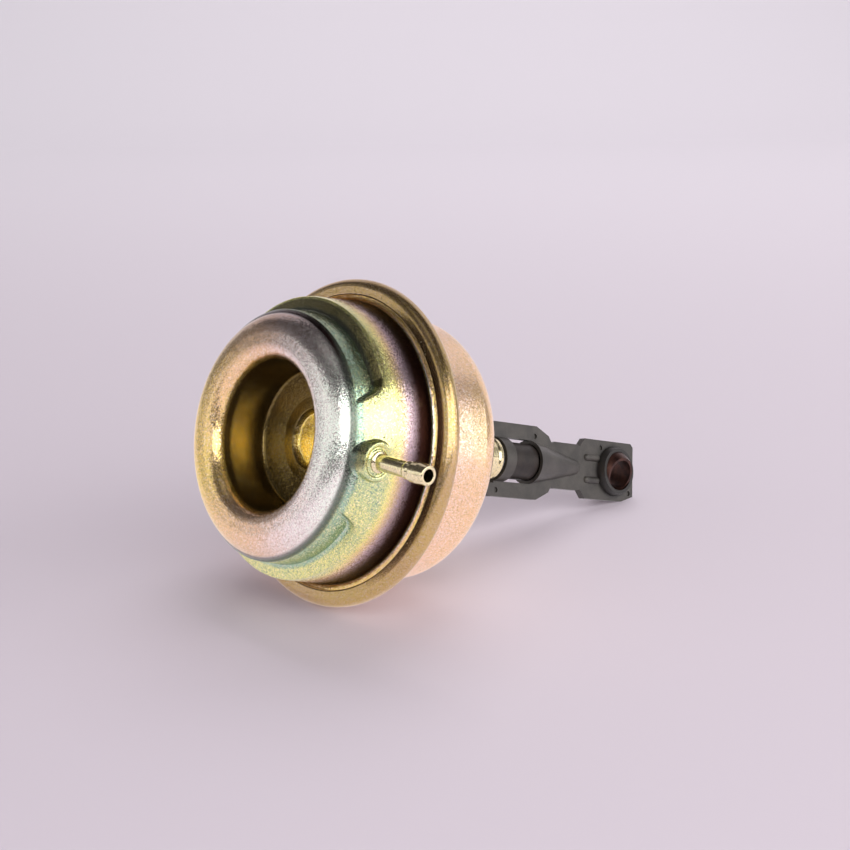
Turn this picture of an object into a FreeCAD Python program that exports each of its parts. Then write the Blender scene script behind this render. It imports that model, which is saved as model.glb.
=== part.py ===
import FreeCAD, Part
import Sketcher
import os
import re
from FreeCAD import Placement, Rotation, Vector

# Turbo wastegate actuator: two pressed cans crimped over a rolling diaphragm, a piston and
# spring inside, a guided push rod, and a two-shell stamped link with a swivelling eye.
# Stations are measured along the actuator axis (+X, towards the rod eye) from a datum 30 mm
# in front of the crimped rim; every piece is then shifted so that the rear can's mounting
# face lies at X = 0.

SIZES = {
    "rim_at": (30, "station of the middle of the crimped rim"),
    "rim_rad": (38, "outer radius of the crimped rim"),
    "lip_rad": (34.1, "inner radius of the folded lip"),
    "fold": (2.16, "half thickness of the crimped rim"),
    "sheet": (1.0, "sheet of both cans"),
    "gap": (0.05, "assembly gap between touching pieces"),
    "ring_at": (6.1, "station of the front can's foremost face"),
    "ring_rad": (28.2, "outer radius of the front ring"),
    "mouth_rad": (16.9, "radius of the cup mouth before rounding"),
    "floor_at": (20.2, "station of the cup floor's corner"),
    "floor_rad": (16.0, "radius of the cup floor's corner"),
    "pan_at": (21.6, "station of the flat ring on the cup floor"),
    "pan_rad": (9.9, "outer radius of that flat ring"),
    "stop_rad": (6.2, "radius of the central stop recess"),
    "stop_deep": (1.4, "depth of the stop recess"),
    "valley_at": (9.7, "station of the valley behind the front ring"),
    "valley_rad": (28.05, "radius in that valley"),
    "brow_at": (11.6, "station of the shoulder's first bend"),
    "brow_rad": (29.9, "radius there"),
    "crest_at": (15.4, "station where the shoulder meets the wall"),
    "crest_rad": (32.1, "radius there"),
    "wall_rad": (32.8, "wall radius of the front can at its flange"),
    "pocket_from": (10.2, "front end of the shoulder pockets"),
    "pocket_to": (15.0, "station of the pocket's riser"),
    "pocket_rad": (28.6, "floor radius of the shoulder pockets"),
    "pocket_span": (134, "angle spanned by each shoulder pocket"),
    "boss_at": (14.05, "station of the nipple's boss"),
    "boss_rad": (4.45, "radius of the nipple's boss"),
    "boss_top": (32.0, "distance of the boss face from the axis"),
    "nipple_turn": (13, "nipple's angle below the -Y direction"),
    "tube_rad": (1.8, "outer radius of the nipple tube"),
    "barb_rad": (2.35, "radius of the nipple's barb"),
    "tip_rad": (2.05, "outer radius of the nipple's tip"),
    "tube_bore": (1.35, "bore radius of the nipple"),
    "tip_at": (47.5, "distance of the nipple's tip from the axis"),
    "back_at": (52.6, "station of the rear can's mounting face"),
    "back_rad": (31.2, "outer radius of the rear can"),
    "back_round": (6.0, "edge rounding of the rear can"),
    "turret_rad": (9.2, "base radius of the rear turret"),
    "turret_top": (8.0, "top radius of the rear turret"),
    "turret_at": (66.5, "station of the turret's end"),
    "stud_pitch": (36, "distance between the two studs"),
    "stud_rad": (3.0, "thread radius of the studs"),
    "stud_len": (15, "length of the studs behind the can"),
    "head_at": (24.05, "station of the rod's riveted head at rest"),
    "washer_thick": (0.8, "washer under the riveted head"),
    "plate_thick": (0.9, "diaphragm plate"),
    "rubber": (0.9, "diaphragm"),
    "skirt_rad": (24.45, "outer radius of the piston skirt"),
    "skirt_to": (38.0, "station of the piston skirt's end"),
    "roll_to": (39.2, "station of the diaphragm's roll"),
    "wire_rad": (1.2, "wire radius of the spring"),
    "coil_rad": (11.4, "mean radius of the spring"),
    "coil_turns": (2.75, "turns of the spring"),
    "rod_rad": (3.0, "radius of the push rod"),
    "rod_to": (97.5, "station of the rod's free end"),
    "collar_rad": (5.3, "outer radius of the guide collar"),
    "collar_lip": (5.65, "radius of the collar's lip"),
    "collar_to": (79.9, "station of the collar's lip face"),
    "bush_rad": (3.85, "outer radius of the guide bush"),
    "nut_rad": (4.75, "radius of the adjuster nut"),
    "slot_from": (84.2, "front end of the link's window"),
    "slot_to": (93.9, "rear end of the link's window"),
    "slot_half": (5.65, "half height of the link's window"),
    "tunnel_from": (80.6, "front end of the link's tunnel"),
    "tunnel_rad": (5.75, "outer radius of the link's tunnel"),
    "cone_to": (114.6, "tip of the link's cone"),
    "stamp": (0.95, "sheet of the link shells"),
    "eye_at": (128.0, "station of the rod eye"),
    "eye_to": (136.3, "far end of the link"),
    "ball_rad": (6.0, "radius of the eye ball"),
    "ball_half": (3.6, "half width of the eye ball"),
    "ball_bore": (4.05, "bore radius of the eye ball"),
    "ball_tilt": (18, "swivel of the eye ball at rest"),
    "socket_half": (3.0, "half width over the socket collars"),
}

doc = FreeCAD.newDocument("turbo_wastegate")
sheet = doc.addObject("Spreadsheet::Sheet", "sizes")
for row, (alias, (number, note)) in enumerate(SIZES.items(), 1):
    sheet.set(f"A{row}", note)
    sheet.set(f"B{row}", str(number))
    sheet.setAlias(f"B{row}", alias)
doc.recompute()

ORIGIN_SHIFT = "-back_at"
parts = []


def bound(rule):
    """The rule with each alias written as a reference to the sheet."""
    return re.sub(r"\b(?!asin|cos|sin|tan)([a-z][a-z_]*)\b", r"sizes.\1", str(rule))


def size(rule):
    """The number that a rule gives with the sheet's present values."""
    names = {alias: number for alias, (number, note) in SIZES.items()}
    text = str(rule)
    for alias in sorted(names, key=len, reverse=True):
        text = re.sub(rf"\b{alias}\b", f"({names[alias]})", text)
    return float(sheet.evalExpression(text))


def tie(thing, prop, rule):
    thing.setExpression(prop, bound(rule))


def new_body(label, turn=None):
    body = doc.addObject("PartDesign::Body", label)
    body.Label = label
    tie(body, ".Placement.Base.x", ORIGIN_SHIFT)
    if turn:
        body.Placement.Rotation = Rotation(Vector(1, 0, 0), 0)
        tie(body, ".Placement.Rotation.Angle", turn)
    parts.append(body)
    return body


def plane(body, role):
    return next(f for f in body.Origin.OriginFeatures if f.Role == role)


def fix_point(sketch, line, across, up):
    """Pins the first point of a line by its distances from the sketch's axes."""
    for kind, rule, axis in (("DistanceX", across, -2), ("DistanceY", up, -1)):
        distance = size(rule)
        if abs(distance) < 1e-9:
            sketch.addConstraint(Sketcher.Constraint("PointOnObject", line, 1, axis))
            continue
        mark = sketch.addConstraint(Sketcher.Constraint(kind, -1, 1, line, 1, distance))
        sketch.setExpression(f"Constraints[{mark}]", bound(rule))


def outline(body, name, corners, role="XZ_Plane"):
    """A closed sketch of straight lines through corners given as rules."""
    sketch = body.newObject("Sketcher::SketchObject", name)
    sketch.AttachmentSupport = [(plane(body, role), "")]
    sketch.MapMode = "FlatFace"
    points = [Vector(size(c[0]), size(c[1]), 0) for c in corners]
    count = len(points)
    for i in range(count):
        sketch.addGeometry(Part.LineSegment(points[i], points[(i + 1) % count]), False)
    for i in range(count):
        sketch.addConstraint(Sketcher.Constraint("Coincident", i, 2, (i + 1) % count, 1))
    for i, corner in enumerate(corners):
        fix_point(sketch, i, corner[0], corner[1])
    return sketch


def turned(body, name, corners, kind="Revolution", angle=360, mid=False):
    """Turns a profile of (station, radius, rounding) corners about the axis."""
    sketch = outline(body, name + "_profile", corners)
    turn = body.newObject("PartDesign::" + kind, name)
    turn.Profile = sketch
    turn.ReferenceAxis = (sketch, ["H_Axis"])
    turn.Midplane = mid
    if isinstance(angle, str):
        tie(turn, "Angle", angle)
    else:
        turn.Angle = angle
    sketch.Visibility = False
    doc.recompute()
    round_corners(body, turn, corners)
    return turn


def round_corners(body, feature, corners):
    """Rounds the circular edges that the corners with a rounding have swept."""
    for radius in sorted({c[2] for c in corners if len(c) > 2}, key=size):
        base = body.Tip
        wanted = [c for c in corners if len(c) > 2 and c[2] == radius]
        names = []
        for number, edge in enumerate(base.Shape.Edges, 1):
            if not isinstance(edge.Curve, Part.Circle):
                continue
            at, rad = edge.Curve.Center.x, edge.Curve.Radius
            if any(abs(at - size(c[0])) + abs(rad - abs(size(c[1]))) < 1e-3 for c in wanted):
                names.append(f"Edge{number}")
        fillet = body.newObject("PartDesign::Fillet", "rounding")
        fillet.Base = (base, names)
        tie(fillet, "Radius", radius)
        doc.recompute()


# Front can: deep-drawn steel, a rounded ring about a re-entrant cup whose floor carries the
# rod's stop, a sloping shoulder, and a flat flange that the rear can's lip holds.
front = new_body("front_can", "nipple_turn")
turned(front, "shell", [
    ("pan_at + stop_deep", "0"),
    ("pan_at + stop_deep", "stop_rad", "0.5"),
    ("pan_at", "stop_rad + 0.9", "0.5"),
    ("pan_at", "pan_rad", "0.7"),
    ("floor_at", "floor_rad", "0.9"),
    ("ring_at", "mouth_rad", "4.6"),
    ("ring_at", "ring_rad - 2.7", "4.2"),
    ("ring_at + 2.3", "ring_rad - 0.35", "3.2"),
    ("valley_at", "valley_rad", "0.5"),
    ("brow_at", "brow_rad", "2.5"),
    ("crest_at", "crest_rad", "8"),
    ("rim_at - fold + 2 * sheet - 1", "wall_rad", "1.2"),
    ("rim_at - fold + sheet", "rim_rad - sheet - 0.1"),
    ("rim_at - fold + 2 * sheet", "rim_rad - sheet - 0.1"),
    ("rim_at - fold + 2 * sheet", "wall_rad - sheet", "0.5"),
    ("crest_at + 0.3", "crest_rad - sheet", "7"),
    ("brow_at + 0.6", "brow_rad - 0.8", "1.5"),
    ("valley_at + 0.5", "valley_rad - 0.95", "1.2"),
    ("ring_at + 2.75", "ring_rad - 1.3", "2.2"),
    ("ring_at + sheet", "ring_rad - 3.1", "3.2"),
    ("ring_at + sheet", "mouth_rad + sheet", "3.6"),
    ("floor_at + sheet", "floor_rad + sheet", "1.9"),
    ("pan_at + sheet", "pan_rad + 0.3", "0.7"),
    ("pan_at + sheet", "stop_rad + 1.7", "0.5"),
    ("pan_at + stop_deep + sheet", "stop_rad + 0.7", "0.7"),
    ("pan_at + stop_deep + sheet", "0"),
])

# Two opposite pockets pressed into the shoulder: a cylindrical floor carried back from the
# ring, and a riser up to the wall. The pressed-in sheet is added first, then the hollow cut.
for side, sign in (("upper", ""), ("lower", "-")):
    turned(front, side + "_pocket_wall", [
        ("pocket_from - 0.6", sign + "(pocket_rad - 1.6)"),
        ("pocket_to + sheet", sign + "(pocket_rad - sheet)", "0.8"),
        ("pocket_to + 1.5 * sheet", sign + "(crest_rad - 1.3)"),
        ("pocket_to - 1", sign + "(crest_rad - 1.6)"),
        ("pocket_from - 0.6", sign + "(pocket_rad - 0.2)"),
    ], angle="pocket_span + 5", mid=True)
    turned(front, side + "_pocket", [
        ("pocket_from", sign + "(pocket_rad - 0.35)"),
        ("pocket_to", sign + "pocket_rad", "0.7"),
        ("pocket_to + 0.6", sign + "(crest_rad + 1.5)"),
        ("pocket_from", sign + "(crest_rad + 1.5)"),
    ], kind="Groove", angle="pocket_span", mid=True)


def circle(body, name, across, up, radius, role="XZ_Plane", lift=None):
    """A circle sketch on one of the body's planes, shifted along the plane's normal."""
    sketch = body.newObject("Sketcher::SketchObject", name)
    sketch.AttachmentSupport = [(plane(body, role), "")]
    sketch.MapMode = "FlatFace"
    if lift:
        tie(sketch, ".AttachmentOffset.Base.z", lift)
    centre = Vector(size(across), size(up), 0)
    sketch.addGeometry(Part.Circle(centre, Vector(0, 0, 1), size(radius)), False)
    mark = sketch.addConstraint(Sketcher.Constraint("Radius", 0, size(radius)))
    sketch.setExpression(f"Constraints[{mark}]", bound(radius))
    for kind, rule, axis in (("DistanceX", across, -2), ("DistanceY", up, -1)):
        if abs(size(rule)) < 1e-9:
            sketch.addConstraint(Sketcher.Constraint("PointOnObject", 0, 3, axis))
            continue
        mark = sketch.addConstraint(Sketcher.Constraint(kind, -1, 1, 0, 3, size(rule)))
        sketch.setExpression(f"Constraints[{mark}]", bound(rule))
    sketch.Visibility = False
    return sketch


def pushed(body, name, sketch, length, kind="Pad", back=False):
    """Pads or pockets a sketch; back turns it against the default direction."""
    feature = body.newObject("PartDesign::" + kind, name)
    feature.Profile = sketch
    tie(feature, "Length", length)
    feature.Reversed = back
    sketch.Visibility = False
    doc.recompute()
    return feature


# The nipple's boss: a short drawn post with a flat face, hollow underneath, bored for the
# nipple's spigot.
post = outline(front, "boss_profile", [
    ("0", "-(valley_rad - 1.2)"),
    ("boss_rad", "-(valley_rad - 1.2)"),
    ("boss_rad", "-(boss_top - 0.6)"),
    ("boss_rad - 0.08", "-(boss_top - 0.3)"),
    ("boss_rad - 0.3", "-(boss_top - 0.08)"),
    ("boss_rad - 0.6", "-boss_top"),
    ("0", "-boss_top"),
], role="XY_Plane")
tie(post, ".AttachmentOffset.Base.x", "boss_at")
boss = front.newObject("PartDesign::Revolution", "boss")
boss.Profile = post
boss.ReferenceAxis = (post, ["V_Axis"])
boss.Angle = 360
post.Visibility = False
doc.recompute()
under = circle(front, "boss_hollow_circle", "boss_at", "0", "boss_rad - sheet",
               lift="boss_top - sheet")
pushed(front, "boss_hollow", under, "boss_top - 20", kind="Pocket")
spigot = circle(front, "spigot_circle", "boss_at", "0", "tube_rad + gap", lift="boss_top + 1")
pushed(front, "spigot_hole", spigot, "5", kind="Pocket")

# Rear can: cup with a large edge rounding, its flange folded round the rim, a flat mounting
# face and a drawn turret that carries the rod's guide.
rear = new_body("rear_can")
turned(rear, "shell", [
    ("rim_at - fold", "lip_rad", "0.45"),
    ("rim_at - fold", "rim_rad", "1.9"),
    ("rim_at + fold", "rim_rad", "1.9"),
    ("rim_at + fold", "back_rad", "0.8"),
    ("back_at", "back_rad", "back_round"),
    ("back_at", "turret_rad", "0.8"),
    ("turret_at", "turret_top", "1.6"),
    ("turret_at", "4.7"),
    ("turret_at - sheet", "4.7"),
    ("turret_at - sheet", "turret_top - sheet - 0.05", "0.6"),
    ("back_at - 1.1 * sheet", "turret_rad - 1.1 * sheet", "1.6"),
    ("back_at - 1.1 * sheet", "back_rad - 1.1 * sheet", "back_round - 1.1 * sheet"),
    ("rim_at + fold - sheet", "back_rad - 1.1 * sheet", "1.0"),
    ("rim_at + fold - sheet", "rim_rad - sheet"),
    ("rim_at - fold + sheet", "rim_rad - sheet"),
    ("rim_at - fold + sheet", "lip_rad", "0.45"),
])
for side in (1, -1):
    hole = circle(rear, f"stud_circle_{side + 2}", "0", f"{side} * stud_pitch / 2",
                  "stud_rad + 0.3 + gap", role="YZ_Plane", lift="back_at + 5")
    pushed(rear, f"stud_hole_{side + 2}", hole, "10", kind="Pocket")

# Diaphragm: fabric-backed rubber, its bead clamped in the rim, one rolling convolution that
# hugs the rear can's wall and the piston skirt, and a flat centre clamped on the rod.
PLATE = "(head_at + 1 + washer_thick + plate_thick + 3 * gap)"
HEAD = f"({PLATE} + rubber)"
WALL = "(back_rad - 1.1 * sheet - 0.1)"
diaphragm = new_body("diaphragm")
turned(diaphragm, "skin", [
    ("rim_at - fold + 2 * sheet + gap", "rim_rad - sheet - 0.15"),
    ("rim_at + fold - sheet - gap", "rim_rad - sheet - 0.15"),
    ("rim_at + fold - sheet - gap", WALL, "0.95"),
    ("roll_to", WALL, "2.5"),
    ("roll_to", "skirt_rad + 0.1", "2.5"),
    (HEAD, "skirt_rad + 0.1", "2.0"),
    (HEAD, "3.0"),
    (PLATE, "3.0"),
    (PLATE, "skirt_rad + 0.1 + rubber", "2.8"),
    ("roll_to - rubber", "skirt_rad + 0.1 + rubber", "1.6"),
    ("roll_to - rubber", f"{WALL} - rubber", "1.6"),
    ("rim_at - fold + 2 * sheet + gap", f"{WALL} - rubber", "1.2"),
])

# Stack on the rod's front spigot: washer, dished plate in front of the diaphragm, piston cup
# behind it.
washer = new_body("rod_washer")
turned(washer, "ring", [
    ("head_at + 1 + gap", "2.65"),
    ("head_at + 1 + gap", "6.5", "0.2"),
    ("head_at + 1 + gap + washer_thick", "6.5", "0.2"),
    ("head_at + 1 + gap + washer_thick", "2.65"),
])
plate = new_body("diaphragm_plate")
turned(plate, "dish", [
    (f"{PLATE} - gap - plate_thick", "2.65"),
    (f"{PLATE} - gap - plate_thick", "19.2", "0.8"),
    (f"{PLATE} - gap - plate_thick - 1.2", "21.4", "0.4"),
    (f"{PLATE} - gap - 1.2", "22.2", "0.4"),
    (f"{PLATE} - gap", "19.8", "1.2"),
    (f"{PLATE} - gap", "2.65"),
])
piston = new_body("piston")
turned(piston, "cup", [
    (f"{HEAD} + gap", "2.65"),
    (f"{HEAD} + gap", "skirt_rad", "2.1"),
    ("skirt_to", "skirt_rad", "0.3"),
    ("skirt_to", "skirt_rad - 1", "0.3"),
    (f"{HEAD} + gap + 1", "skirt_rad - 1", "1.1"),
    (f"{HEAD} + gap + 1", "2.65"),
])

# Push rod: riveted head, spigot through the stack, shoulder flange, long plain shank whose
# far end takes the adjuster nut.
rod = new_body("push_rod")
turned(rod, "bar", [
    ("head_at", "0"),
    ("head_at", "4.4", "0.5"),
    ("head_at + 1", "4.4"),
    ("head_at + 1", "2.6"),
    (f"{HEAD} + 2 * gap + 1", "2.6"),
    (f"{HEAD} + 2 * gap + 1", "6.0", "0.3"),
    (f"{HEAD} + 2 * gap + 2.8", "6.0", "0.5"),
    (f"{HEAD} + 2 * gap + 2.8", "rod_rad", "1"),
    ("rod_to", "rod_rad", "0.8"),
    ("rod_to", "0"),
])

# Return spring: round wire coiled between the piston and a seat ring on the rear wall.
SEAT = "(back_at - 1.1 * sheet - gap)"
START = f"({HEAD} + gap + 1 + wire_rad + 0.03)"
spring_seat = new_body("spring_seat")
turned(spring_seat, "ring", [
    (f"{SEAT} - 0.8", "10.1", "0.3"),
    (f"{SEAT} - 0.8", "13.2", "0.3"),
    (SEAT, "13.2", "0.2"),
    (SEAT, "10.1", "0.2"),
])
spring = new_body("return_spring")
wire = circle(spring, "wire_circle", START, "coil_rad", "wire_rad")
coil = spring.newObject("PartDesign::AdditiveHelix", "coil")
coil.Profile = wire
coil.ReferenceAxis = (wire, ["H_Axis"])
coil.Mode = "height-turns-angle"
tie(coil, "Height", f"{SEAT} - 0.8 - wire_rad - 0.03 - {START}")
tie(coil, "Turns", "coil_turns")
doc.recompute()

# Guide: turned collar held in the turret's end, a sintered bush inside it and a felt wiper
# behind its lip.
collar = new_body("guide_collar")
turned(collar, "sleeve", [
    ("turret_at - sheet - 1.3", "bush_rad + gap"),
    ("turret_at - sheet - 1.3", "6.3", "0.3"),
    ("turret_at - sheet - gap", "6.3", "0.2"),
    ("turret_at - sheet - gap", "4.65"),
    ("turret_at + gap", "4.65"),
    ("turret_at + gap", "6.6", "0.2"),
    ("turret_at + 1.3", "6.6", "0.5"),
    ("turret_at + 1.3", "collar_rad", "0.3"),
    ("collar_to - 1.8", "collar_rad"),
    ("collar_to - 1.4", "collar_lip", "0.2"),
    ("collar_to", "collar_lip", "0.65"),
    ("collar_to", "4.5", "0.4"),
    ("collar_to - 1.5", "4.5"),
    ("collar_to - 1.5", "bush_rad + gap"),
])
bush = new_body("guide_bush")
turned(bush, "sleeve", [
    ("turret_at - sheet - 1.3", "rod_rad + gap", "0.3"),
    ("turret_at - sheet - 1.3", "bush_rad", "0.3"),
    ("collar_to - 1.6", "bush_rad"),
    ("collar_to - 1.6", "rod_rad + gap"),
])
wiper = new_body("dust_wiper")
turned(wiper, "ring", [
    ("collar_to - 1.5 + gap", "rod_rad + gap"),
    ("collar_to - 1.5 + gap", "4.4"),
    ("collar_to - 0.3", "4.4"),
    ("collar_to - 0.3", "rod_rad + gap"),
])

# Hose nipple: turned tube with a small foot on the boss, a spigot through it, and a barb. It
# points straight out from the axis, turned a little below the -Y direction.
nipple = doc.addObject("PartDesign::Body", "hose_nipple")
nipple.Label = "hose_nipple"
parts.append(nipple)
turned(nipple, "stem", [
    ("boss_top - sheet - 0.8", "tube_bore"),
    ("boss_top - sheet - 0.8", "tube_rad"),
    ("boss_top + 0.02", "tube_rad"),
    ("boss_top + 0.02", "2.4", "0.1"),
    ("boss_top + 0.35", "2.4", "0.2"),
    ("boss_top + 0.7", "tube_rad", "0.3"),
    ("tip_at - 6.6", "tube_rad"),
    ("tip_at - 6.1", "tube_rad + 0.2"),
    ("tip_at - 5.3", "tube_rad + 0.2"),
    ("tip_at - 4.9", "tube_rad"),
    ("tip_at - 4.5", "tube_rad + 0.1"),
    ("tip_at - 4.1", "barb_rad"),
    ("tip_at - 2.5", "barb_rad", "0.3"),
    ("tip_at", "tip_rad", "0.25"),
    ("tip_at", "tube_bore", "0.15"),
])
outwards = Rotation(Vector(1, 0, 0), size("nipple_turn")) * Rotation(Vector(0, 0, 1), -90)
nipple.Placement = Placement(Vector(), outwards)
tie(nipple, ".Placement.Base.x", "boss_at - back_at")

# Mounting studs: two threaded studs pressed through the rear wall, their heads inside.
pins = []
for side in (1, -1):
    for name, radius, start, length in (
        ("head", "4.4", "back_at - 1.1 * sheet - 1.6 - gap", "1.6"),
        ("neck", "stud_rad + 0.3", "back_at - 1.1 * sheet - gap - 0.1", "1.1 * sheet + gap + 0.1"),
        ("thread", "stud_rad", "back_at - 0.2", "stud_len + 0.2"),
    ):
        pin = doc.addObject("Part::Cylinder", f"stud_{name}_{side + 2}")
        pin.Placement = Placement(Vector(), Rotation(Vector(0, 1, 0), 90))
        tie(pin, "Radius", radius)
        tie(pin, "Height", length)
        tie(pin, ".Placement.Base.x", start)
        tie(pin, ".Placement.Base.z", f"{side} * stud_pitch / 2")
        pins.append(pin)
studs = doc.addObject("Part::MultiFuse", "mounting_studs")
studs.Label = "mounting_studs"
studs.Shapes = pins
tie(studs, ".Placement.Base.x", ORIGIN_SHIFT)
parts.append(studs)

# Adjuster nut: plain round barrel threaded on the rod's end and held in the link's window.
nut = new_body("adjuster_nut")
turned(nut, "barrel", [
    ("slot_from + 0.15", "rod_rad + gap", "0.2"),
    ("slot_from + 0.15", "nut_rad", "0.35"),
    ("slot_to - 0.15", "nut_rad", "0.35"),
    ("slot_to - 0.15", "rod_rad + gap", "0.2"),
])

# Link shells: one stamping used twice, back to back, the second turned half round about the
# axis. A flat blade with a half tunnel, a window for the nut, a half cone, two beads and half
# of the ball's socket.
BLADE = [
    ("tunnel_from", "6.15"), ("tunnel_from - 2.4", "6.15"), ("tunnel_from - 2.4", "8.3"),
    ("tunnel_from - 0.6", "9.57"), ("slot_to + 2.7", "9.57"), ("slot_to + 7.5", "7.4"),
    ("slot_to + 8.7", "5.6"), ("slot_to + 9.7", "6.15"), ("eye_at - 15.3", "6.15"),
    ("eye_at - 14", "5.8"), ("eye_at - 12", "8.07"), ("eye_to - 1", "8.07"),
    ("eye_to", "7.07"),
]
CLINCHES = [
    ("slot_to + 2.1", "6.9"), ("tunnel_from + 0.9", "-7.9"),
    ("eye_at - 5.5", "6"), ("eye_at + 6.5", "-5.7"),
]
for label, turn in (("link_shell_near", "0"), ("link_shell_far", "180")):
    shell = new_body(label, turn)
    lower = [(across, f"-({up})") for across, up in reversed(BLADE)]
    pushed(shell, "blade", outline(shell, "blade_outline", BLADE + lower), "stamp")
    turned(shell, "tunnel", [
        ("tunnel_from", "0"),
        ("tunnel_from", "tunnel_rad"),
        ("slot_to", "tunnel_rad"),
        ("cone_to - 2", "2.1", "1.5"),
        ("cone_to", "0.5"),
        ("cone_to", "0"),
    ])
    ball = shell.newObject("PartDesign::AdditiveSphere", "socket")
    tie(ball, "Radius", "ball_rad + gap + 0.8")
    tie(ball, ".Placement.Base.x", "eye_at")
    turned(shell, "tunnel_hollow", [
        ("tunnel_from - 1", "0"),
        ("tunnel_from - 1", "tunnel_rad - 0.9"),
        ("slot_to", "tunnel_rad - 0.9"),
        ("cone_to - 3", "1.2"),
        ("cone_to - 3", "0"),
    ], kind="Groove")
    hollow = shell.newObject("PartDesign::SubtractiveSphere", "ball_seat")
    tie(hollow, "Radius", "ball_rad + gap")
    tie(hollow, ".Placement.Base.x", "eye_at")
    for height in ("3", "-3"):
        for name, kind, across in (("bead", "Cylinder", "eye_at - 11.4"),
                                   ("bead_end", "Sphere", "eye_at - 11.4"),
                                   ("bead_tail", "Sphere", "eye_at - 7")):
            bead = shell.newObject("PartDesign::Additive" + kind, name)
            tie(bead, "Radius", "stamp")
            tie(bead, ".Placement.Base.x", across)
            tie(bead, ".Placement.Base.y", "0.15 - stamp")
            tie(bead, ".Placement.Base.z", height)
            if kind == "Cylinder":
                tie(bead, "Height", "4.4")
                bead.Placement.Rotation = Rotation(Vector(0, 1, 0), 90)
    for name, across, deep, wide, near in (
        ("inner_trim", "0", "30", "200", "-0.01"),
        ("outer_trim", "eye_at - 8", "20", "16", "-socket_half - 20"),
    ):
        block = shell.newObject("PartDesign::SubtractiveBox", name)
        tie(block, "Length", wide)
        tie(block, "Width", deep)
        tie(block, "Height", "60")
        tie(block, ".Placement.Base.x", across)
        tie(block, ".Placement.Base.y", near)
        tie(block, ".Placement.Base.z", "-30")
    for across, up in CLINCHES:
        clinch = shell.newObject("PartDesign::SubtractiveCylinder", "clinch")
        clinch.Placement.Rotation = Rotation(Vector(1, 0, 0), 90)
        tie(clinch, "Radius", "0.7")
        tie(clinch, "Height", "5")
        tie(clinch, ".Placement.Base.x", across)
        tie(clinch, ".Placement.Base.y", "0.4 - stamp")
        tie(clinch, ".Placement.Base.z", up)
    window = outline(shell, "window_outline", [
        ("slot_from", "slot_half"), ("slot_to", "slot_half"),
        ("slot_to", "-slot_half"), ("slot_from", "-slot_half"),
    ])
    pushed(shell, "window", window, "20", kind="Pocket", back=True)
doc.recompute()

# Eye ball: a zone of a sphere, bored through, turned a little in its socket.
zone = doc.addObject("Part::Sphere", "ball_zone")
tie(zone, "Radius", "ball_rad")
tie(zone, "Angle1", "-asin(ball_half / ball_rad)")
tie(zone, "Angle2", "asin(ball_half / ball_rad)")
drill = doc.addObject("Part::Cylinder", "ball_drill")
tie(drill, "Radius", "ball_bore")
drill.Height = 30
drill.Placement.Base = Vector(0, 0, -15)
eye = doc.addObject("Part::Cut", "eye_ball")
eye.Label = "eye_ball"
eye.Base = zone
eye.Tool = drill
eye.Placement.Rotation = Rotation(Vector(1, 0, 0), 90 + size("ball_tilt"))
tie(eye, ".Placement.Base.x", "eye_at - back_at")
parts.append(eye)

doc.recompute()
for thing in doc.Objects:
    if "Invalid" in thing.State or "Error" in thing.State:
        raise RuntimeError(f"{thing.Name} failed: {thing.State}")
os.makedirs("parts", exist_ok=True)
for piece in parts:
    if piece.Shape.isNull() or not piece.Shape.isValid() or not piece.Shape.Solids:
        raise RuntimeError(f"{piece.Label} has no valid shape")
    piece.Shape.exportStep(f"parts/{piece.Label}.step")
    print(piece.Label, round(piece.Shape.Volume, 1), len(piece.Shape.Solids))
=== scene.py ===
import math

import bmesh
import bpy
import numpy as np
from mathutils import Matrix, Vector


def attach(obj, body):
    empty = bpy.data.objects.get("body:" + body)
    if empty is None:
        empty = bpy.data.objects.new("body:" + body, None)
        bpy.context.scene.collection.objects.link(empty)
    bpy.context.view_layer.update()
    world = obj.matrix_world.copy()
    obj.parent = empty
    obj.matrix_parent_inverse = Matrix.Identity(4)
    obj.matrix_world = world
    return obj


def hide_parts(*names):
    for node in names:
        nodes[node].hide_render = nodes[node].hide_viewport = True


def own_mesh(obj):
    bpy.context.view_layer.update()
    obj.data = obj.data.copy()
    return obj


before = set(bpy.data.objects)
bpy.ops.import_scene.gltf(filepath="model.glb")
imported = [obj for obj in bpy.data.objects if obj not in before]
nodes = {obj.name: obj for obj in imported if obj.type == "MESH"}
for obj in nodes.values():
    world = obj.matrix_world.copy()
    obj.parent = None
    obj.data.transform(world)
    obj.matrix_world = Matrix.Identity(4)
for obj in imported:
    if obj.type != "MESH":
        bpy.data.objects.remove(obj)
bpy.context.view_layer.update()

# Front can: one deep-drawn steel shell, pressed in steps into a rounded ring, a re-entrant cup
# with the rod's stop in its floor, a sloping shoulder with two pockets and the nipple's boss.
# Stations and radii are in millimetres along and from the can's axis.
MM = 0.001
BACK_AT = 52.6
NIPPLE_TURN = math.radians(13)
CUP_AND_RING = [(23.0, 0, 0), (23.0, 6.2, 0.5), (21.6, 7.1, 0.5), (21.6, 9.9, 0.7),
                (20.2, 16.0, 1.0), (6.1, 17.3, 3.6), (6.1, 28.1, 5.9), (12.0, 28.1, 0)]
SHOULDER = [(9.2, 27.5, 0), (9.75, 27.95, 0.4), (11.6, 29.9, 2.5), (15.4, 32.1, 8.0),
            (28.84, 32.8, 1.3), (28.84, 36.9, 0)]
SHELL = 0.95
RING_TO = 9.3
SHOULDER_TO = 27.0
POCKET_FROM = 10.2
POCKET_REAR = 16.2
POCKET_FLOOR = 28.3
POCKET_RISE = 0.08
POCKET_HALF = math.radians(68)
POCKET_SLANT = 0.5
POCKET_SLANT_FROM = 9.5
POCKET_CORNER = 2.9
POCKET_EDGE = 1.15
POCKET_ENDS = 64
BOSS_AT = 14.05
BOSS_TOP = 32.0
BOSS_RADIUS = 4.45
BOSS_EDGE = 0.9
BOSS_SKIRT = 0.3
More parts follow.
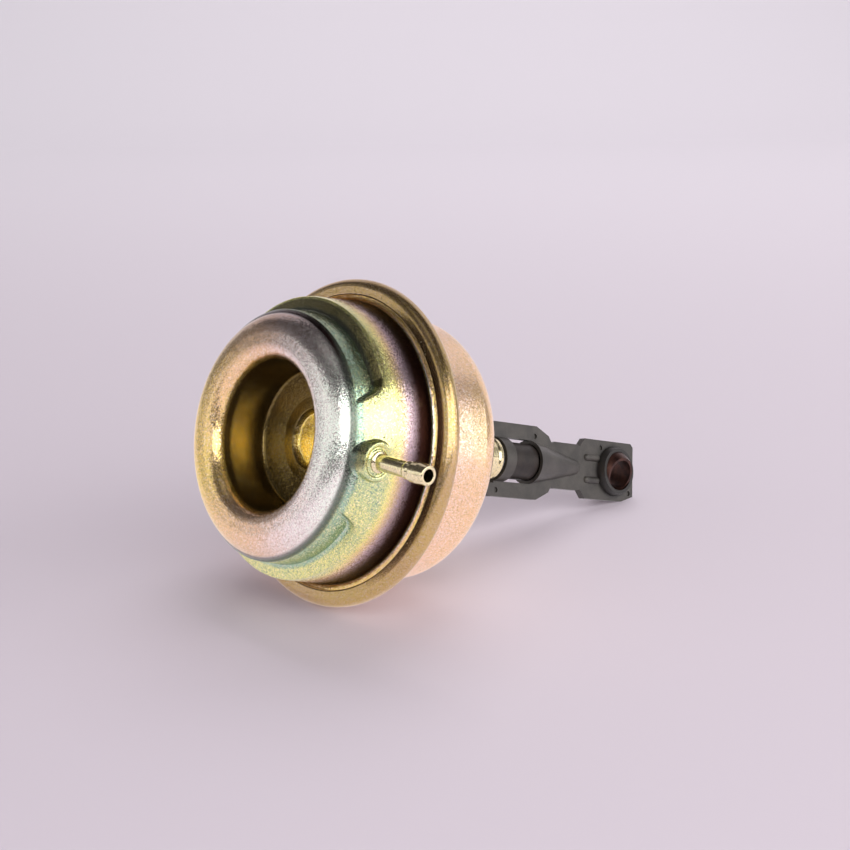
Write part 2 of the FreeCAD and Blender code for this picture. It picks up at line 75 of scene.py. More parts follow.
GROOVE_RADIUS = 2.95
GROOVE_DEEP = 0.4
GROOVE_HALF = 0.55
BOSS_STEP = 0.34
POCKET_END_STEP = 0.5
PLAIN_STEP = 1.7


def rounded(corners, step=0.22):
    """The polyline through (station, radius, rounding) corners with its roundings drawn."""
    points = [np.array(corners[0][:2], float)]
    for before, (at, out, bend), after in zip(corners, corners[1:-1], corners[2:]):
        here = np.array((at, out), float)
        back = np.array(before[:2], float) - here
        on = np.array(after[:2], float) - here
        back /= np.linalg.norm(back)
        on /= np.linalg.norm(on)
        half = math.acos(max(-1, min(1, float(back @ on)))) / 2
        if bend <= 0:
            points.append(here)
            continue
        reach = bend / math.tan(half)
        centre = here + (back + on) / np.linalg.norm(back + on) * bend / math.sin(half)
        first, last = here + back * reach - centre, here + on * reach - centre
        turn = math.pi - 2 * half
        count = max(3, round(turn * bend / step), round(turn / 0.2))
        sign = 1 if first[0] * last[1] - first[1] * last[0] > 0 else -1
        for share in np.linspace(0, turn * sign, count + 1):
            spin = np.array([[math.cos(share), -math.sin(share)],
                             [math.sin(share), math.cos(share)]])
            points.append(centre + spin @ first)
    points.append(np.array(corners[-1][:2], float))
    return np.array(points)


def filled_in(points, step):
    """The same line with no run longer than step."""
    line = [points[0]]
    for a, b in zip(points, points[1:]):
        count = max(1, math.ceil(np.linalg.norm(b - a) / step))
        line += [a + (b - a) * k / count for k in range(1, count + 1)]
    return np.array(line)


def ease(x):
    """Smooth step from 0 to 1."""
    x = np.clip(x, 0, 1)
    return x * x * x * (x * (6 * x - 15) + 10)


def outwards(piece):
    """Turns a closed mesh's faces outwards."""
    shape = bmesh.new()
    shape.from_mesh(piece.data)
    bmesh.ops.recalc_face_normals(shape, faces=shape.faces)
    shape.to_mesh(piece.data)
    shape.free()


def mesh_object(name, verts, faces):
    """A smooth mesh piece in the scene, its points in millimetres from the row's origin."""
    mesh = bpy.data.meshes.new(name)
    mesh.from_pydata([tuple(v) for v in np.asarray(verts) * MM], [], faces)
    mesh.validate()
    mesh.shade_smooth()
    piece = bpy.data.objects.new(name, mesh)
    bpy.context.scene.collection.objects.link(piece)
    outwards(piece)
    return piece


def grid_faces(rows, columns, start=0):
    """Quads between rows of points that close on themselves round the axis."""
    faces = []
    for i in range(rows - 1):
        a, b = start + i * columns, start + (i + 1) * columns
        faces += [(a + j, b + j, b + (j + 1) % columns, a + (j + 1) % columns)
                  for j in range(columns)]
    return faces


def shoulder_height(at, angle):
    """Radius of the shoulder's outer face at a station and an angle from the nipple."""
    land = np.interp(at, *rounded(SHOULDER).T[:, :-2])
    floor = np.minimum(land, POCKET_FLOOR + POCKET_RISE * (at - POCKET_FROM))
    off = np.abs(np.abs(angle) - math.pi / 2)
    behind = POCKET_REAR - at
    within = (POCKET_HALF - off) * POCKET_FLOOR - POCKET_SLANT * (at - POCKET_SLANT_FROM)
    inside = POCKET_CORNER - np.hypot(np.maximum(POCKET_CORNER - behind, 0),
                                      np.maximum(POCKET_CORNER - within, 0))
    height = land - (land - floor) * ease(inside / POCKET_EDGE)
    far = np.hypot(at - BOSS_AT, height * np.sin(angle))
    facing = np.cos(angle) > 0.5
    top = np.where(facing, BOSS_TOP / np.maximum(np.cos(angle), 0.5), height)
    raised = ease((BOSS_RADIUS + BOSS_SKIRT - far) / BOSS_EDGE) * facing
    height = height + (top - height) * raised
    return height - GROOVE_DEEP * ease(1 - np.abs(far - GROOVE_RADIUS) / GROOVE_HALF) * facing


def angles_round():
    """Angles round the can, closer together over the boss and the pockets' ends."""
    marks = [0.0]
    while marks[-1] < 360:
        at = (marks[-1] + 180) % 360 - 180
        from_end = abs(abs(abs(at) - 90) - POCKET_ENDS)
        step = POCKET_END_STEP if from_end < 8 else PLAIN_STEP
        marks.append(marks[-1] + (BOSS_STEP if abs(at) < 10 else step))
    marks = np.array(marks[:-1])
    return np.radians((marks * 360 / (marks[-1] + BOSS_STEP) + 180) % 360 - 180)


def placed(at, out, angle):
    """Point in the row's frame from station, radius and angle above the nipple."""
    turned = angle - NIPPLE_TURN
    return np.stack([at - BACK_AT + 0 * angle, -out * np.cos(turned), out * np.sin(turned)], -1)


angles = angles_round()
columns = len(angles)
ring_line = filled_in(rounded(CUP_AND_RING), 0.9)
ring_line = ring_line[(ring_line[:, 1] < 25) | (ring_line[:, 0] < RING_TO)]
shoulder_line = rounded(SHOULDER)
flange_line = shoulder_line[shoulder_line[:, 0] > SHOULDER_TO]
stations = np.unique(np.concatenate([
    np.linspace(9.2, 10.8, 13), np.linspace(10.8, 14.6, 20), np.linspace(14.6, 17.0, 22),
    np.linspace(17.0, SHOULDER_TO, 14)]))[1:]
outer = [placed(at, out, angles) for at, out in ring_line[1:]]
outer += [placed(at, shoulder_height(at, angles), angles) for at in stations]
outer += [placed(at, out, angles) for at, out in flange_line]
outer = np.array(outer)
normal = np.cross(np.gradient(outer, axis=0), np.roll(outer, -1, 1) - np.roll(outer, 1, 1))
normal /= np.linalg.norm(normal, axis=2, keepdims=True)
keep = [*range(0, len(outer) - 1, 3), len(outer) - 1]
back = (outer + normal * SHELL * (1 if normal[-40, 0, 1] > 0 else -1))[keep]
first_back = len(outer) * columns
last_outer, last_back = first_back - columns, first_back + (len(back) - 1) * columns
faces = grid_faces(len(outer), columns) + grid_faces(len(back), columns, first_back)
faces += [(last_outer + j, last_back + j, last_back + (j + 1) % columns,
           last_outer + (j + 1) % columns) for j in range(columns)]
poles = [(ring_line[0][0] - BACK_AT, 0, 0), (ring_line[0][0] + SHELL - BACK_AT, 0, 0)]
pole = first_back + len(back) * columns
faces += [(pole, j, (j + 1) % columns) for j in range(columns)]
faces += [(pole + 1, first_back + (j + 1) % columns, first_back + j) for j in range(columns)]
front_can = mesh_object("front_can_shell", np.concatenate([
    outer.reshape(-1, 3), back.reshape(-1, 3), poles]), faces)


class Wire:
    """A shader socket on which Python's arithmetic makes Math nodes."""

    def __init__(self, tree, socket=None):
        self.tree = tree
        self.socket = socket

    def node(self, kind, settings, inputs, out=0):
        """Adds a node: its settings first, then the values or links of its sockets."""
        made = self.tree.nodes.new("ShaderNode" + kind)
        for name, value in settings.items():
            if name != "stops":
                setattr(made, name, value)
                continue
            ramp = made.color_ramp
            while len(ramp.elements) < len(value):
                ramp.elements.new(0.5)
            for stop, (at, card) in zip(ramp.elements, value):
                stop.position = at
                stop.color = card
        for key, value in inputs.items():
            if isinstance(value, Wire):
                self.tree.links.new(value.socket, made.inputs[key])
            else:
                made.inputs[key].default_value = value
        return Wire(self.tree, made.outputs[out])

    def math(self, operation, *values):
        return self.node("Math", {"operation": operation}, dict(enumerate(values)))

    def __add__(self, other):
        return self.math("ADD", self, other)

    def __radd__(self, other):
        return self.math("ADD", other, self)

    def __sub__(self, other):
        return self.math("SUBTRACT", self, other)

    def __rsub__(self, other):
        return self.math("SUBTRACT", other, self)

    def __mul__(self, other):
        return self.math("MULTIPLY", self, other)

    def __rmul__(self, other):
        return self.math("MULTIPLY", other, self)

    def __truediv__(self, other):
        return self.math("DIVIDE", self, other)

    def __rtruediv__(self, other):
        return self.math("DIVIDE", other, self)

    def band(self, low, high):
        """0 below low, 1 above high, smooth between."""
        return self.node("MapRange", {"interpolation_type": "SMOOTHSTEP"},
                         {"Value": self, "From Min": low, "From Max": high})

    def towards(self, other, share):
        """This value moved a share of the way to the other."""
        return self + (other - self) * share

    def blend(self, first, second, mode="MIX"):
        """Colour blend whose factor is this socket."""
        return self.node("Mix", {"data_type": "RGBA", "blend_type": mode},
                         {0: self, 6: first, 7: second}, 2)

    def noise(self, scale, detail=2.0, rough=0.6, twist=0.0):
        """Noise around 0.5 at this place, its grain about 1 / scale metres."""
        return self.node("TexNoise", {}, {"Vector": self, "Scale": scale, "Detail": detail,
                                          "Roughness": rough, "Distortion": twist})

    def root(self):
        return self.math("SQRT", self)

    def larger(self, other):
        return self.math("MAXIMUM", self, other)

    def vector(self, operation, other, out=0):
        return self.node("VectorMath", {"operation": operation}, {0: self, 1: other}, out)

    def facets(self, scale):
        """Height of small flat crystals, each tilted its own way, and a number for each."""
        cells = self.node("TexVoronoi", {}, {"Vector": self, "Scale": scale}, "Color")
        middle = Wire(self.tree, cells.socket.node.outputs["Position"])
        lean = cells.vector("SUBTRACT", (0.5, 0.5, 0.5))
        number = self.node("SeparateXYZ", {}, {0: cells})
        return lean.vector("DOT_PRODUCT", self.vector("SUBTRACT", middle), 1), number

    def bump(self, depth, strength=1.0):
        """Normal for this height, whose full range is depth metres."""
        return self.node("Bump", {}, {"Strength": strength, "Distance": depth,
                                      "Height": self})


def finish(name):
    """A new material, its Principled shader and the place its patterns are drawn in."""
    material = bpy.data.materials.new(name)
    material.use_nodes = True
    shader = material.node_tree.nodes["Principled BSDF"]
    return material, shader, Wire(material.node_tree).node("TexCoord", {}, {}, "Object")


def feed(shader, **values):
    """Sets or links the Principled shader's sockets, named with _ for a blank."""
    for name, value in values.items():
        socket = shader.inputs[name.replace("_", " ")]
        if isinstance(value, Wire):
            shader.id_data.links.new(value.socket, socket)
        else:
            socket.default_value = value


def colour(red, green, blue):
    """Linear colour, with alpha, from the 0 to 255 values of a colour card."""
    parts = [v / 255 for v in (red, green, blue)]
    return (*[p / 12.92 if p <= 0.04045 else ((p + 0.055) / 1.055) ** 2.4 for p in parts], 1)


# Yellow zinc: the passivated film's colour runs through gold, pink, lilac, teal and green as
# it thickens. The plating's crystals are flat and tilted, so they sparkle.
FILM = [(0.00, colour(216, 204, 168)), (0.12, colour(236, 210, 104)),
        (0.24, colour(230, 194, 142)), (0.34, colour(222, 188, 164)),
        (0.44, colour(226, 212, 210)), (0.54, colour(222, 228, 218)),
        (0.64, colour(140, 176, 154)), (0.76, colour(230, 222, 140)),
        (0.88, colour(220, 190, 144)), (1.00, colour(206, 180, 192))]
CRYSTALS_PER_METRE = 5000.0
# Dark brown: painted shade and painted reflection in the front can's folds and hollows, and the
# darker rim of the rear can.
DARK_BROWN = colour(44, 26, 24)


def no_shade(x, z, out):
    return x * 0


def yellow_zinc(name, film, patches, sparkle, rough, darkened=no_shade):
    """Film is a rule that gives the film's thickness, 0 to 1, from x, y, z and the radius;
    the last rule gives how far the colour goes to dark brown, which on the front can is
    painted shade and painted dark reflection in its folds and hollows."""
    material, shader, place = finish(name)
    x, y, z = (place.node("SeparateXYZ", {}, {0: place}, k) for k in range(3))
    height, number = place.facets(CRYSTALS_PER_METRE)
    stain = place.noise(120.0, 6.0, 0.7).band(0.58, 0.76) * 0.25
    out = (y * y + z * z).root()
    thickness = film(x, y, z, out)
    thickness = thickness + (place.noise(46.0, 3.0, 0.55, 0.6) - 0.5) * patches
    thickness = thickness + (place.noise(300.0, 3.0) - 0.5) * (patches * 0.25)
    tint = place.node("ValToRGB", {"stops": FILM}, {"Fac": thickness + (number - 0.5) * 0.1})
    tint = (number.band(0.35, 0.0) * 0.36).blend(tint, colour(110, 88, 70))
    tint = (number.band(0.75, 1.0) * 0.4).blend(tint, colour(252, 244, 232))
    # Darkens towards dark brown; on the front can this is painted shade and painted reflection.
    tint = darkened(x, z, out).blend(tint, DARK_BROWN)
    relief = height + (place.noise(1300.0) - 0.5) * 0.000012
    feed(shader, Base_Color=stain.blend(tint, colour(128, 112, 84)), Metallic=1.0,
         Roughness=rough + (number - 0.5) * 0.1 + stain * 0.3, Normal=relief.bump(sparkle))
    return material


def dress(material, *names):
    """Gives CAD nodes a material."""
    for name in names:
        nodes[name].data.materials.clear()
        nodes[name].data.materials.append(material)


def front_film(x, y, z, out):
    """Film of the gold cup, the ring from gold round to lilac, the green pockets and the
    shoulder from yellow to lilac. Stations are in metres from the mounting face."""
    ring = 0.34 - y * 7.5
    land = 0.73 + x.band(-0.0360, -0.0295) * 0.28
    shoulder = land.towards(0.65, out.band(0.0300, 0.0290))
    front = ring.towards(0.12, out.band(0.0178, 0.0166))
    can = front.towards(shoulder, x.band(-0.0440, -0.0425) * out.band(0.024, 0.026))
    return can.towards(0.2, x.band(-0.0252, -0.024) * out.band(0.030, 0.032))


def painted_fold_shade(x, z, out):
    """Painted shade and painted dark reflection in brown: at the flange, in the valley about
    the ring, on the upper pocket's riser, over the cup's wall, lip and depth, and on the
    ring's upper face.
    """
    flange = x.band(-0.0335, -0.0275) * x.band(-0.0242, -0.0252) * out.band(0.03, 0.031)
    valley = x.band(-0.0441, -0.0432) * x.band(-0.0420, -0.0428) * out.band(0.026, 0.027)
    riser = x.band(-0.0378, -0.0374) * out.band(0.0318, 0.0312) * out.band(0.0265, 0.0275)
    edge = (z * z).root().band(0.006, 0.014)
    lip = x.band(-0.0408, -0.0420)
    wall = x.band(-0.0436, -0.0428) * out.band(0.0178, 0.0172) * out.band(0.0062, 0.0070)
    cup = wall * edge.larger(x.band(-0.0385, -0.0345) + lip)
    crown = z.band(0.006, 0.024) * x.band(-0.0422, -0.0434) * out.band(0.0185, 0.0205)
    shade = flange + valley * 0.7 + riser * z.band(0, 0.006) * 0.8
    return shade + cup * 0.85 + crown * 0.42


# The front can's brown in its folds, cup and ring top is painted shade and painted reflection.
front_can.data.materials.append(yellow_zinc(
    "front_can_yellow_zinc", front_film, 0.17, 0.19, 0.18, darkened=painted_fold_shade))
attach(front_can, "can")
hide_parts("front_can")

# Rear can, collar and nipple: the same plating on the second drawn shell, whose folded edge
# crimps the rim, and on turned pieces.
def rear_film(x, y, z, out):
    """Peach wall, gold at the back and on the folded rim."""
    return 0.34 - x.band(-0.02, 0.002) * 0.07 - out.band(0.032, 0.034) * 0.12


def on_the_rim(x, z, out):
    return out.band(0.0325, 0.035) * 0.42


def bare_film(x, y, z, out):
    return 0.0


dress(yellow_zinc("rear_can_yellow_zinc", rear_film, 0.12, 0.07, 0.22, darkened=on_the_rim),
      "rear_can")
dress(yellow_zinc("turned_yellow_zinc", bare_film, 0.08, 0.02, 0.14),
      "guide_collar", "hose_nipple")

# Return spring and mounting studs: a helix of wire between the piston and the rear wall, its
# ends laid flat, and two M6 studs whose threads are the same helix with a diamond section.
SEAT_AT = 50.65 - BACK_AT
PISTON_AT = 28.88 - BACK_AT
SPRING_WIRE = 1.2
SPRING_RADIUS = 11.4
SPRING_TURNS = 2.75
STUD_PITCH = 36
STUD_END = 15.0
STUD_SIDES = 64
THREAD_RADIUS = 2.5
THREAD_PITCH = 1.0
THREAD_FROM = 0.7
THREAD_LENGTH = STUD_END - 1.6
STUD = [(-2.75, 0, 0), (-2.75, 4.4, 0.3), (-1.15, 4.4, 0.1), (-1.15, 3.3, 0), (-0.2, 3.3, 0.1),
        (-0.2, 2.5, 0), (STUD_END - 0.7, 2.5, 0.2), (STUD_END, 1.9, 0.1), (STUD_END, 0, 0)]

coils = bpy.data.node_groups.new("coils", "GeometryNodeTree")
for label, kind in (("Core", "Geometry"), ("Radius", "Float"), ("Rise", "Float"),
                    ("Turns", "Float"), ("Flat Share", "Float"), ("Wire", "Float"),
                    ("Sides", "Int"), ("Smooth", "Bool"), ("Start", "Vector"),
                    ("Copies", "Int"), ("First", "Vector"), ("Step", "Vector"),
                    ("Finish", "Material")):
    coils.interface.new_socket(label, in_out="INPUT", socket_type="NodeSocket" + kind)
coils.interface.new_socket("Coils", in_out="OUTPUT", socket_type="NodeSocketGeometry")
given = coils.nodes.new("NodeGroupInput")
taken = coils.nodes.new("NodeGroupOutput")


def grow(kind, settings, inputs, out=0):
    """Adds a node to the group; an input is a value, a socket or a group input's name."""
    made = coils.nodes.new(kind)
    for name, value in settings.items():
        setattr(made, name, value)
    for key, value in inputs.items():
        if isinstance(value, str):
            value = given.outputs[value]
        if isinstance(value, bpy.types.NodeSocket):
            coils.links.new(value, made.inputs[key])
        else:
            made.inputs[key].default_value = value
    return made.outputs[out]


spiral = grow("GeometryNodeCurveSpiral", {}, {
    "Resolution": 64, "Rotations": "Turns", "Start Radius": "Radius", "End Radius": "Radius",
    "Height": "Rise"})
share = grow("GeometryNodeSplineParameter", {}, {})
other_end = grow("ShaderNodeMath", {"operation": "SUBTRACT"}, {0: 1.0, 1: "Flat Share"})
climb = grow("ShaderNodeMapRange", {}, {
    "Value": share, "From Min": "Flat Share", "From Max": other_end, "To Min": 0.0,
    "To Max": "Rise"})
spot = grow("GeometryNodeInputPosition", {}, {})
across = grow("ShaderNodeSeparateXYZ", {}, {0: spot}).node
moved = grow("ShaderNodeCombineXYZ", {}, {0: across.outputs[0], 1: across.outputs[1], 2: climb})
helix = grow("GeometryNodeSetPosition", {}, {"Geometry": spiral, "Position": moved})
upright = grow("GeometryNodeSetCurveNormal", {"mode": "Z_UP"}, {"Curve": helix})
section = grow("GeometryNodeCurvePrimitiveCircle", {}, {"Resolution": "Sides",
                                                        "Radius": "Wire"})
wound = grow("GeometryNodeCurveToMesh", {}, {"Curve": upright, "Profile Curve": section,
                                             "Fill Caps": True})
soft = grow("GeometryNodeSetShadeSmooth", {}, {"Geometry": wound, "Shade Smooth": "Smooth"})
laid = grow("GeometryNodeTransform", {}, {"Geometry": soft, "Translation": "Start",
                                          "Rotation": (0, math.pi / 2, 0)})
one = grow("GeometryNodeJoinGeometry", {}, {"Geometry": laid})
coils.links.new(given.outputs["Core"], one.node.inputs["Geometry"])
spots = grow("GeometryNodeMeshLine", {}, {"Count": "Copies", "Start Location": "First",
                                          "Offset": "Step"})
copies = grow("GeometryNodeInstanceOnPoints", {}, {"Points": spots, "Instance": one})
whole = grow("GeometryNodeRealizeInstances", {}, {"Geometry": copies})
done = grow("GeometryNodeSetMaterial", {}, {"Geometry": whole, "Material": "Finish"})
coils.links.new(done, taken.inputs[0])


def grown(piece, **values):
    """Runs the coil group on a piece and leaves the piece with the plain mesh it made."""
    modifier = piece.modifiers.new("coils", "NODES")
    modifier.node_group = coils
    for socket in coils.interface.items_tree:
        key = socket.name.replace(" ", "_")
        if socket.in_out == "INPUT" and key in values:
            modifier[socket.identifier] = values[key]
    bpy.context.view_layer.update()
    graph = bpy.context.evaluated_depsgraph_get()
    mesh = bpy.data.meshes.new_from_object(piece.evaluated_get(graph), depsgraph=graph)
    piece.modifiers.clear()
    piece.data = mesh
    outwards(piece)


spring_steel, shader, place = finish("spring_oiled_steel")
scale = place.noise(900.0, 4.0, 0.65)
feed(shader, Base_Color=scale.band(0.35, 0.7).blend(colour(86, 84, 86), colour(120, 116, 112)),
     Metallic=0.9, Roughness=0.3 + (scale - 0.5) * 0.25,
     Normal=place.noise(2600.0).bump(0.00003))
spring = bpy.data.objects.new("return_spring_coil", bpy.data.meshes.new("empty"))
bpy.context.scene.collection.objects.link(spring)
grown(spring, Radius=SPRING_RADIUS * MM, Turns=SPRING_TURNS, Flat_Share=0.13, Sides=16,
      Rise=(SEAT_AT - PISTON_AT - 2 * SPRING_WIRE) * MM, Wire=SPRING_WIRE * MM, Smooth=True,
      Start=((PISTON_AT + SPRING_WIRE) * MM, 0, 0), Copies=1, Finish=spring_steel)
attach(spring, "can")
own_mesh(spring)
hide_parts("return_spring")

stud_line = filled_in(rounded(STUD), 1.5)
stud_angles = np.linspace(0, 2 * math.pi, STUD_SIDES, endpoint=False)
rows = [np.stack([at + 0 * stud_angles, out * np.cos(stud_angles), out * np.sin(stud_angles)],
                 -1) for at, out in stud_line[1:-1]]
ends = len(rows) * STUD_SIDES
last = ends - STUD_SIDES
faces = grid_faces(len(rows), STUD_SIDES)
faces += [(ends, k, (k + 1) % STUD_SIDES) for k in range(STUD_SIDES)]
faces += [(ends + 1, last + k, last + (k + 1) % STUD_SIDES) for k in range(STUD_SIDES)]
studs = mesh_object("threaded_studs", np.concatenate([
    *rows, [(stud_line[0][0], 0, 0), (STUD_END, 0, 0)]]), faces)
grown(studs, Radius=THREAD_RADIUS * MM, Turns=THREAD_LENGTH / THREAD_PITCH, Sides=4,
      Smooth=False, Rise=THREAD_LENGTH * MM, Wire=0.5 * THREAD_PITCH * MM,
      Start=(THREAD_FROM * MM, 0, 0),
      Copies=2, First=(0, 0, -STUD_PITCH / 2 * MM), Step=(0, 0, STUD_PITCH * MM),
      Finish=bpy.data.materials["turned_yellow_zinc"])
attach(studs, "can")
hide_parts("mounting_studs")

# Inside the cans: bright zinc stack on the rod, fabric-backed rubber diaphragm, bronze bush,
# felt wiper, and the push rod of ground steel.
bright, shader, place = finish("bright_zinc_steel")
spangle = place.noise(700.0, 3.0, 0.6)
feed(shader, Base_Color=spangle.band(0.35, 0.65).blend(colour(166, 170, 174),
                                                       colour(198, 200, 202)),
     Metallic=1.0, Roughness=0.24 + (spangle - 0.5) * 0.2,
     Normal=place.noise(3000.0).bump(0.00003))
dress(bright, "diaphragm_plate", "piston", "rod_washer", "spring_seat")

rubber, shader, place = finish("diaphragm_fabric_rubber")
weave = [place.node("TexWave", {"bands_direction": way}, {"Vector": place, "Scale": 520.0})
         for way in "YZ"]
threads = weave[0] * weave[1]
dust = place.noise(240.0, 5.0, 0.7)
feed(shader, Base_Color=dust.band(0.4, 0.75).blend(colour(26, 26, 28), colour(50, 48, 48)),
     Roughness=0.62 + dust * 0.15, Normal=threads.bump(0.00005, 0.6))
dress(rubber, "diaphragm")

sintered, shader, place = finish("bush_sintered_bronze")
pores = place.node("TexVoronoi", {}, {"Vector": place, "Scale": 3200.0})
oil = place.noise(420.0, 4.0)
feed(shader, Base_Color=oil.band(0.3, 0.7).blend(colour(134, 96, 62), colour(168, 126, 84)),
     Metallic=0.9, Roughness=0.36 + oil * 0.12, Normal=pores.bump(0.00003))
dress(sintered, "guide_bush")

felt, shader, place = finish("wiper_grey_felt")
fibres = place.noise(2400.0, 6.0, 0.75, 2.0)
feed(shader, Base_Color=fibres.band(0.3, 0.7).blend(colour(58, 56, 54), colour(104, 100, 96)),
     Roughness=0.9, Normal=fibres.bump(0.0002))
dress(felt, "dust_wiper")

ground, shader, place = finish("rod_ground_steel")
fine = place.node("VectorMath", {"operation": "MULTIPLY"}, {0: place, 1: (9000, 500, 500)})
scratches = fine.noise(1.0, 3.0, 0.6)
feed(shader, Base_Color=place.noise(160.0, 4.0).band(0.35, 0.7).blend(
    colour(150, 150, 152), colour(176, 174, 172)), Metallic=1.0,
    Roughness=0.2 + scratches * 0.12, Normal=scratches.bump(0.00002, 0.7))
dress(ground, "push_rod")

# Link shells: two identical stampings of thin steel, phosphated matt black, their collar
# round the eye darkened with painted shade.
EYE_AT = 75.4
black, shader, place = finish("link_black_phosphate")
crystals = place.noise(3800.0, 3.0, 0.7)
cloud = place.noise(180.0, 5.0, 0.65)
grey = cloud.band(0.3, 0.75).blend(colour(50, 47, 44), colour(72, 68, 63))
# Painted shade: within about 7 mm of the eye's centre the collar goes nearly black.
from_eye = place.vector("SUBTRACT", (EYE_AT * MM, 0, 0)).vector("MULTIPLY", (1, 0, 1))
collar_shade = from_eye.vector("LENGTH", (0, 0, 0), 1).band(0.0078, 0.0068) * 0.75
grey = (crystals.band(0.6, 0.75) * 0.3).blend(grey, colour(116, 110, 104))
feed(shader, Base_Color=collar_shade.blend(grey, colour(20, 17, 16)),
     Metallic=0.25, Roughness=0.42 + (crystals - 0.5) * 0.25, Normal=crystals.bump(0.00003))
dress(black, "link_shell_near", "link_shell_far")

# Adjuster nut: turned steel barrel with fine turning lines, blackened brown.
barrel, shader, place = finish("nut_brown_black")
turning = place.node("VectorMath", {"operation": "MULTIPLY"}, {0: place, 1: (5200, 260, 260)})
lines = turning.noise(1.0, 3.0, 0.6)
feed(shader, Base_Color=place.noise(300.0, 4.0).band(0.3, 0.7).blend(
    colour(28, 22, 20), colour(44, 36, 31)), Metallic=0.4,
    Roughness=0.38 + lines * 0.14, Normal=lines.bump(0.00004, 0.8))
dress(barrel, "adjuster_nut")

# Eye ball: hardened and oil-blackened steel with a reddish brown cast; its burnished bore
# gets no look of its own here.
oxide, shader, place = finish("eye_brown_oxide")
specks = place.noise(2600.0, 3.0, 0.7)
haze = place.noise(420.0, 4.0, 0.6)
feed(shader, Base_Color=haze.band(0.3, 0.7).blend(colour(40, 23, 20), colour(74, 46, 38)),
     Metallic=0.75, Roughness=0.3 + haze * 0.16, Normal=specks.bump(0.00003))
dress(oxide, "eye_ball")

# Studio: pale paper that curves up behind, two bright soft boxes low at the front and right,
# weaker ones at the left and behind, and a lamp overhead for the shadow. The paper's own
# brightness is for the camera and for reflections only.
camera_right = Vector((0.7191, -0.6946, 0.0219))
camera_up = Vector((-0.0893, -0.0610, 0.9941))
camera_back = Vector((-0.6892, -0.7168, -0.1058))
camera_at = Vector((-264.07, -279.37, -34.82)) * MM
floor_up = Vector((-0.2885, -0.2550, 0.9229))
floor_height = -29.95 * MM
lens = 67.76
PAPER_RUN = 0.9
PAPER_BEND = 0.3
PAPER_TOP = 1.5
PAPER_SIDES = (-1.0, 1.9)
PAPER_GLOW_NEAR = (0.05, 0.035, 0.045, 1)
PAPER_GLOW_FAR = (0.33, 0.32, 0.34, 1)
PAPER_GLOW_MIRRORED = (0.6, 0.565, 0.585, 1)
ROOM_LIGHT = (0.10, 0.093, 0.097, 1)
ROOM_SEEN = (0.72, 0.67, 0.74, 1)
BLACK = (0, 0, 0, 1)


def seen_from(turn, rise):
    """Direction from the object, in degrees right of the camera and above it."""
    turn, rise = math.radians(turn), math.radians(rise)
    return (camera_right * (math.sin(turn) * math.cos(rise)) + camera_up * math.sin(rise)
            + camera_back * (math.cos(turn) * math.cos(rise)))


away = -(camera_back - floor_up * camera_back.dot(floor_up)).normalized()
side = away.cross(floor_up)
sweep = [(PAPER_RUN, 0.0)]
sweep += [(PAPER_RUN + PAPER_BEND * math.sin(a), PAPER_BEND - PAPER_BEND * math.cos(a))
          for a in np.linspace(0.1, math.pi / 2, 14)]
sweep += [(PAPER_RUN + PAPER_BEND, PAPER_TOP)]
paper_points = [away * run + floor_up * (floor_height + rise) + side * wide
                for run, rise in sweep for wide in PAPER_SIDES]
paper_faces = [(2 * k, 2 * k + 1, 2 * k + 3, 2 * k + 2) for k in range(len(sweep) - 1)]
corner = len(paper_points)
paper_points += [away * run + floor_up * floor_height + side * wide
                 for run, wide in ((-2, -2), (-2, 2), (PAPER_RUN, 2), (PAPER_RUN, -2))]
paper_faces.append((corner, corner + 1, corner + 2, corner + 3))
paper = bpy.data.meshes.new("paper_sweep")
paper.from_pydata(paper_points, [], paper_faces)
paper.shade_smooth()
floor = bpy.data.objects.new("paper_sweep", paper)
bpy.context.scene.collection.objects.link(floor)
pale, shader, place = finish("pale_paper")
run = place.node("VectorMath", {"operation": "DOT_PRODUCT"}, {0: place, 1: away}, 1)
rays = place.node("LightPath", {}, {}).socket.node
by_camera = Wire(place.tree, rays.outputs["Is Camera Ray"])
mirrored = Wire(place.tree, rays.outputs["Is Glossy Ray"])
glow = run.band(-0.15, 1.1).blend(PAPER_GLOW_NEAR, PAPER_GLOW_FAR)
feed(shader, Base_Color=colour(200, 191, 200), Roughness=0.7, Specular_IOR_Level=0.2,
     Emission_Color=by_camera.blend(mirrored.blend(BLACK, PAPER_GLOW_MIRRORED), glow),
     Emission_Strength=1.0)
clear = place.node("BsdfTransparent", {}, {})
below = place.node("NewGeometry", {}, {}, "Backfacing")
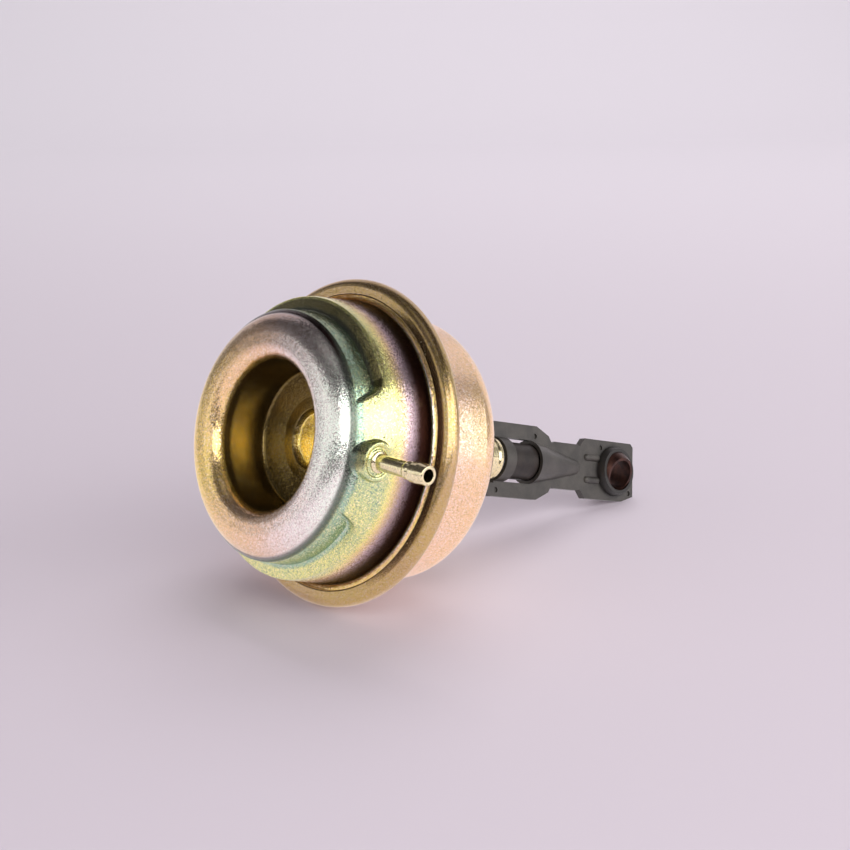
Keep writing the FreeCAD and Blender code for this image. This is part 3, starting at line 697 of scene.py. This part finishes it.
sheet = place.node("MixShader", {}, {0: below, 1: Wire(place.tree, shader.outputs[0]),
                                     2: clear})
place.tree.links.new(sheet.socket, place.tree.nodes["Material Output"].inputs[0])
floor.data.materials.append(pale)


def soft_box(name, turn, rise, far, wide, high, glow):
    """An area lamp that faces the object, glow bright."""
    light = bpy.data.lights.new(name, "AREA")
    light.shape = "RECTANGLE"
    light.size, light.size_y = wide, high
    light.energy = glow * math.pi * wide * high
    lamp = bpy.data.objects.new(name, light)
    facing = seen_from(turn, rise)
    lamp.location = facing * far
    lamp.rotation_mode = "QUATERNION"
    lamp.rotation_quaternion = (-facing).to_track_quat("-Z", "Y")
    bpy.context.scene.collection.objects.link(lamp)
    return lamp


soft_box("front", 18, 15, 0.95, 1.05, 0.6, 3.2)
soft_box("right", 68, 15, 0.95, 0.74, 0.6, 3.3)
soft_box("front_left", -52, 12, 1.0, 1.9, 0.46, 1.15)
soft_box("left", -120, 14, 1.0, 1.0, 0.6, 0.25)
soft_box("front_top", -30, 62, 1.0, 0.6, 0.4, 0.28)
soft_box("right_back", 118, 24, 1.0, 1.05, 0.9, 0.35)
overhead = soft_box("overhead", 150, 75, 1.1, 0.8, 0.8, 3.0)
overhead.visible_glossy = False
world = bpy.data.worlds.new("room")
bpy.context.scene.world = world
world.use_nodes = True
room = Wire(world.node_tree)
walls = room.node("LightPath", {}, {}, "Is Camera Ray").blend(ROOM_LIGHT, ROOM_SEEN)
world.node_tree.links.new(walls.socket, world.node_tree.nodes["Background"].inputs[0])

view = bpy.data.cameras.new("camera")
view.lens = lens
view.sensor_width = 36
view.clip_start = 0.01
camera = bpy.data.objects.new("camera", view)
camera.matrix_world = Matrix((
    (camera_right.x, camera_up.x, camera_back.x, camera_at.x),
    (camera_right.y, camera_up.y, camera_back.y, camera_at.y),
    (camera_right.z, camera_up.z, camera_back.z, camera_at.z),
    (0, 0, 0, 1)))
bpy.context.scene.collection.objects.link(camera)
bpy.context.scene.camera = camera
bpy.context.scene.view_settings.view_transform = "Standard"
